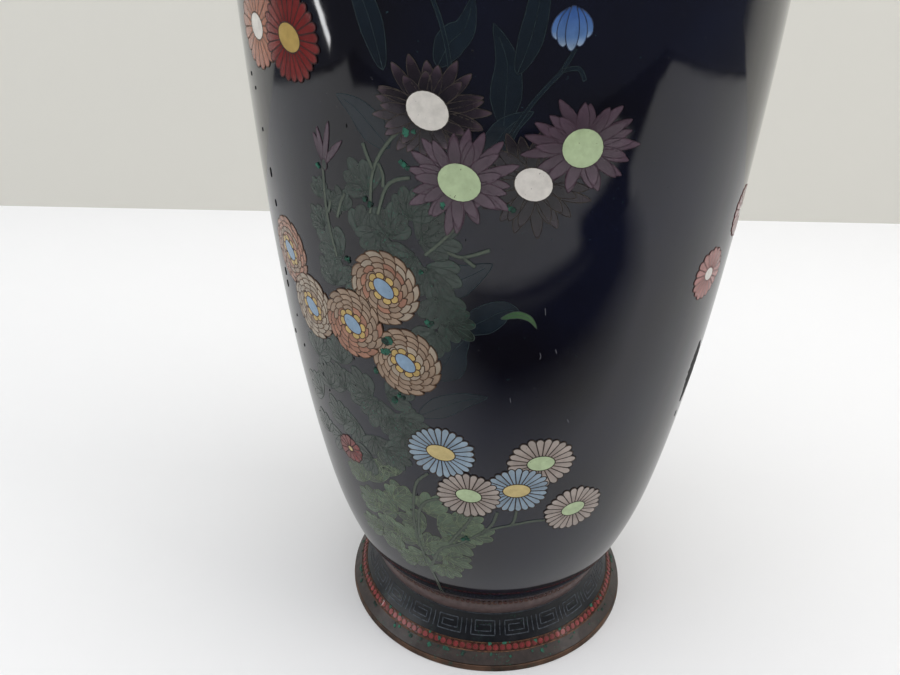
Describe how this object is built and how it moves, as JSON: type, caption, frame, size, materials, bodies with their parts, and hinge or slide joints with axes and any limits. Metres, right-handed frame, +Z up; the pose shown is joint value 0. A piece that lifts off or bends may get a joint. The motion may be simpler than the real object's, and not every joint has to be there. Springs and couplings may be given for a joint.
{
  "type": "cloisonne vase",
  "caption": "Shouldered enamelled copper vase with a narrow neck, flared lip and flared foot, decorated with inlaid flower cells and key-fret bands.",
  "frame": {"origin": "centre of the circle that the foot rests on", "axes": "+Z up along the vase's axis of revolution, -Y towards the front of the flower spray"},
  "size_m": [0.079, 0.079, 0.184],
  "materials": {
    "copper": "bare copper, hand-finished, brown with age",
    "ground_enamel": "polished midnight-blue enamel, fine pits and scratches",
    "fret_enamel": "near-black enamel under a silver-grey wire key fret",
    "green_enamel": "dark green enamel with turquoise specks",
    "bead_enamel": "red enamel beads between fine wires",
    "collar_enamel": "dull rose-brown enamel, satin",
    "counter_enamel": "plain blue-green counter-enamel, pitted",
    "blue_enamel": "pale blue petals",
    "cream_enamel": "cream petals",
    "chrysanthemum_enamel": "buff and salmon petals",
    "aster_enamel": "plum petals",
    "bellflower_enamel": "blue petals with pale tips",
    "red_enamel": "dark red petals",
    "orange_enamel": "soft orange petals",
    "pink_enamel": "dull pink petals",
    "leaf_enamel": "grey-green leaves",
    "blade_enamel": "dark blue long leaves"
  },
  "bodies": {
    "root": {"aster_bud": "aster_enamel", "aster_centre": "aster_enamel", "aster_lower_right": "aster_enamel", "aster_right": "aster_enamel", "aster_upper_left": "aster_enamel", "base_counter_enamel": "counter_enamel", "bellflower_left": "bellflower_enamel", "bellflower_right": "bellflower_enamel", "blue_daisy_left": "blue_enamel", "blue_daisy_right": "blue_enamel", "chrysanthemum_far_left": "chrysanthemum_enamel", "chrysanthemum_left": "chrysanthemum_enamel", "chrysanthemum_lower": "chrysanthemum_enamel", "chrysanthemum_middle": "chrysanthemum_enamel", "chrysanthemum_upper": "chrysanthemum_enamel", "copper_body": "copper", "copper_neck": "copper", "cream_daisy_left": "cream_enamel", "cream_daisy_middle": "cream_enamel", "cream_daisy_right": "cream_enamel", "foot_bead_enamel": "bead_enamel", "foot_fret_enamel": "fret_enamel", "foot_green_enamel": "green_enamel", "foot_ring": "copper", "green_leaf_left": "leaf_enamel", "green_leaf_low_left": "leaf_enamel", "green_leaf_low_right": "leaf_enamel", "green_leaf_upper": "leaf_enamel", "ground_enamel": "ground_enamel", "interior_counter_enamel": "counter_enamel", "lip_rim": "copper", "long_leaf_broad": "blade_enamel", "long_leaf_low": "blade_enamel", "long_leaf_middle": "blade_enamel", "long_leaf_rising": "blade_enamel", "long_leaf_tall": "blade_enamel", "long_leaf_upper_left": "blade_enamel", "neck_bead_enamel": "bead_enamel", "neck_collar_enamel": "collar_enamel", "neck_counter_enamel": "counter_enamel", "neck_fret_enamel": "fret_enamel", "neck_green_enamel": "green_enamel", "orange_daisy": "orange_enamel", "pink_daisy_back": "pink_enamel", "pink_daisy_front": "pink_enamel", "red_blossom": "red_enamel", "red_daisy": "red_enamel", "waist_collar_enamel": "collar_enamel"}
  },
  "joints": []
}
